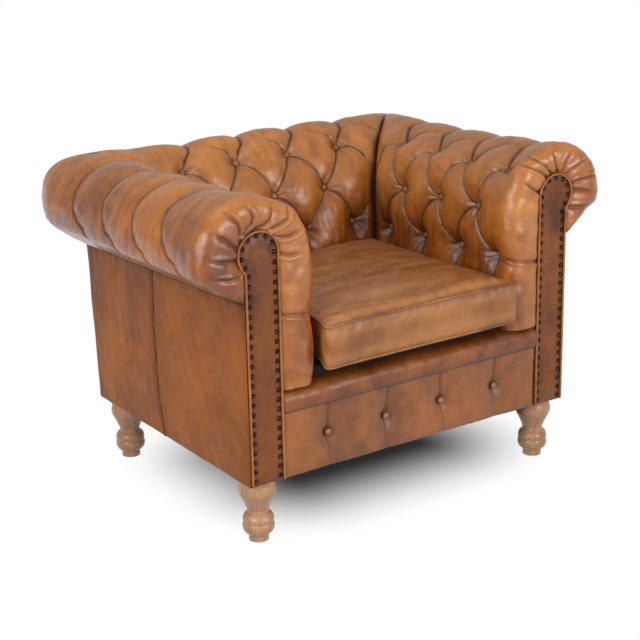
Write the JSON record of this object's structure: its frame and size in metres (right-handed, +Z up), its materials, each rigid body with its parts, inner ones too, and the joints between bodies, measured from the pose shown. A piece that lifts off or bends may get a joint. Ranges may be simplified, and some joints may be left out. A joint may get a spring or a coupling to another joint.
{
  "type": "armchair",
  "caption": "Low armchair in buttoned leather with rolled arms and back at one height, nailed arm facings, a loose piped seat cushion and turned wooden legs.",
  "frame": {"origin": "on the floor, under the middle of the bounding box", "axes": "+X across the chair, to the right for a person looking at its front; +Y from the front to the back; +Z up"},
  "size_m": [1.0882, 0.8328, 0.7743],
  "materials": {
    "leather": "hand-antiqued tan leather, mottled, semi-gloss on the crests",
    "foam": "open-cell cushioning foam",
    "frame_timber": "planed hardwood and plywood, unfinished",
    "leg_wood": "turned hardwood, light reddish-brown, oiled",
    "lining_cloth": "woven jute hessian",
    "dust_cloth": "black spun cloth",
    "steel": "plain steel",
    "nail_metal": "dark antique bronze, domed heads",
    "glide_plastic": "black nylon",
    "zip_metal": "antique brass zip"
  },
  "bodies": {
    "chair": {"apron_buttons": "leather", "arm_buttons": "leather", "arm_foam_left": "foam", "arm_foam_right": "foam", "arm_leather_left": "leather", "arm_leather_right": "leather", "arm_linings": "lining_cloth", "arm_slats": "frame_timber", "arm_top_rails": "frame_timber", "back_buttons": "leather", "back_foam": "foam", "back_leather": "leather", "back_lining": "lining_cloth", "back_slat": "frame_timber", "back_top_rail": "frame_timber", "back_uprights": "frame_timber", "corner_blocks": "frame_timber", "corner_screws": "steel", "dust_cover": "dust_cloth", "facing_boards": "frame_timber", "facing_leather_left": "leather", "facing_leather_right": "leather", "facing_nails": "nail_metal", "facing_piping": "leather", "front_apron": "leather", "front_posts": "frame_timber", "front_rail": "frame_timber", "leg_bolts": "steel", "leg_front_left": "leg_wood", "leg_front_right": "leg_wood", "leg_glides": "glide_plastic", "leg_inserts": "steel", "leg_rear_left": "leg_wood", "leg_rear_right": "leg_wood", "outside_arm_front_left": "leather", "outside_arm_front_right": "leather", "outside_arm_rear_left": "leather", "outside_arm_rear_right": "leather", "outside_back": "leather", "rear_posts": "frame_timber", "rear_rail": "frame_timber", "scroll_boards": "frame_timber", "scroll_front_left": "leather", "scroll_front_right": "leather", "seat_base_pad": "foam", "seat_lip": "leather", "seat_platform": "leather", "seat_springs": "steel", "side_rails": "frame_timber", "spring_clips": "steel"},
    "cushion": {"cushion_core": "foam", "cushion_top_panel": "leather", "cushion_bottom_panel": "leather", "cushion_boxing": "leather", "cushion_zip_gusset": "leather", "cushion_piping_top": "leather", "cushion_piping_bottom": "leather", "zip_chain": "zip_metal"},
    "zip": {"zip_slider": "zip_metal"}
  },
  "joints": [
    {"name": "cushion_lift", "type": "slide", "parent": "chair", "child": "cushion", "axis": [0, 0, 1], "range_m": [0, 0.4]},
    {"name": "zip_slide", "type": "slide", "parent": "cushion", "child": "zip", "axis": [1, 0, 0], "range_m": [0, 0.38]}
  ]
}
